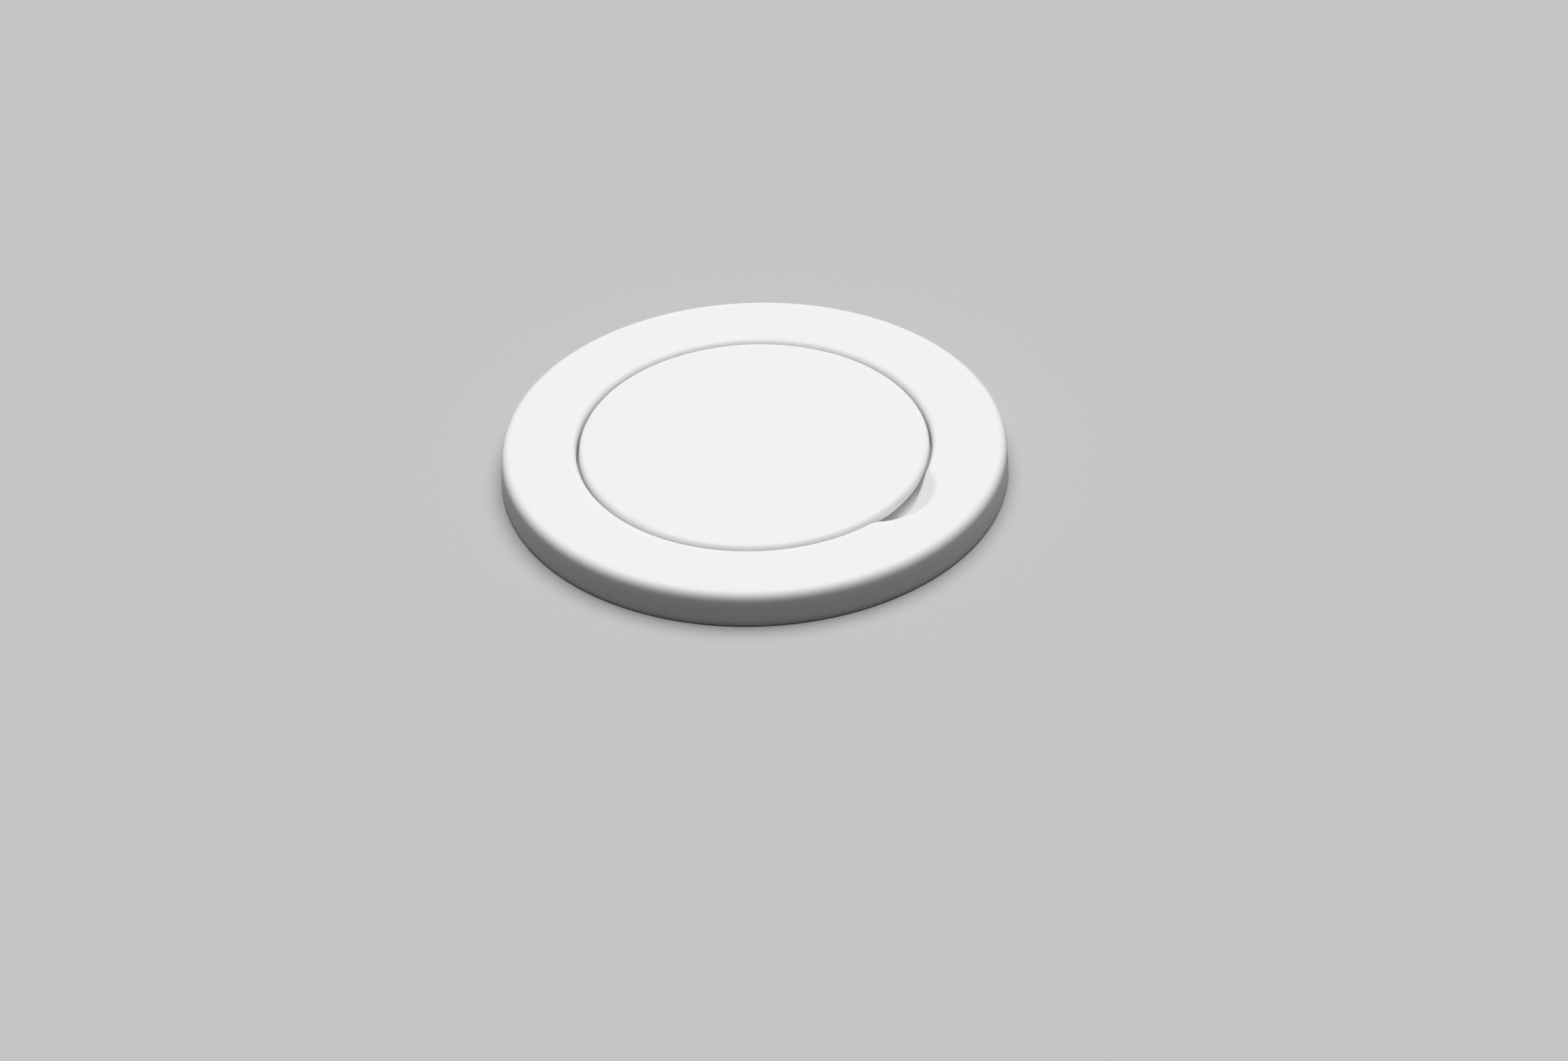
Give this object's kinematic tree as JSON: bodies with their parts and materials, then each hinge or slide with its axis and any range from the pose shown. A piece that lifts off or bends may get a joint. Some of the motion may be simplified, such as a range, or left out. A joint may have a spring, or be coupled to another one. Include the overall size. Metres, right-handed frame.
{
  "type": "magnetic phone holder",
  "caption": "Flat round magnetic holder for the back of a phone: a white ring with a flush round flap that hinges up out of its well, and a finger scoop at the free edge.",
  "frame": {"origin": "middle of the holder's back face, where it meets the phone", "axes": "+Z away from the phone through the ring's middle, +X towards the finger scoop, the hinge lies on the -X side along Y"},
  "size_m": [0.0588, 0.0588, 0.0044],
  "materials": {
    "shell_white": "matte white with a very fine spark texture",
    "inner_white": "matte white, as moulded",
    "soft_pad": "matte light grey silicone",
    "shield_steel": "zinc-plated sheet",
    "magnet_nickel": "bright nickel plate",
    "hinge_steel": "stainless sheet, fine grain",
    "fastener_steel": "bright plated steel",
    "bumper_rubber": "pale soft silicone"
  },
  "bodies": {
    "base": {"ring_housing": "shell_white", "back_cover": "inner_white", "back_pad": "soft_pad", "shield_ring": "shield_steel", "magnet_01": "magnet_nickel", "magnet_02": "magnet_nickel", "magnet_03": "magnet_nickel", "magnet_04": "magnet_nickel", "magnet_05": "magnet_nickel", "magnet_06": "magnet_nickel", "magnet_07": "magnet_nickel", "magnet_08": "magnet_nickel", "magnet_09": "magnet_nickel", "magnet_10": "magnet_nickel", "magnet_11": "magnet_nickel", "magnet_12": "magnet_nickel", "magnet_13": "magnet_nickel", "magnet_14": "magnet_nickel", "magnet_15": "magnet_nickel", "magnet_16": "magnet_nickel", "hinge_bracket": "hinge_steel", "bracket_screws": "fastener_steel", "hinge_pin": "hinge_steel", "bumper_left": "bumper_rubber", "bumper_right": "bumper_rubber"},
    "flap": {"flap_cover": "shell_white", "flap_back": "inner_white", "hinge_leaf": "hinge_steel", "leaf_rivets": "fastener_steel", "flap_screws": "fastener_steel"}
  },
  "joints": [
    {"name": "flap_hinge", "type": "hinge", "parent": "base", "child": "flap", "pos_m": [-0.0184, 0, 0.00345], "axis": [0, -1, 0], "range_deg": [0, 50]}
  ]
}
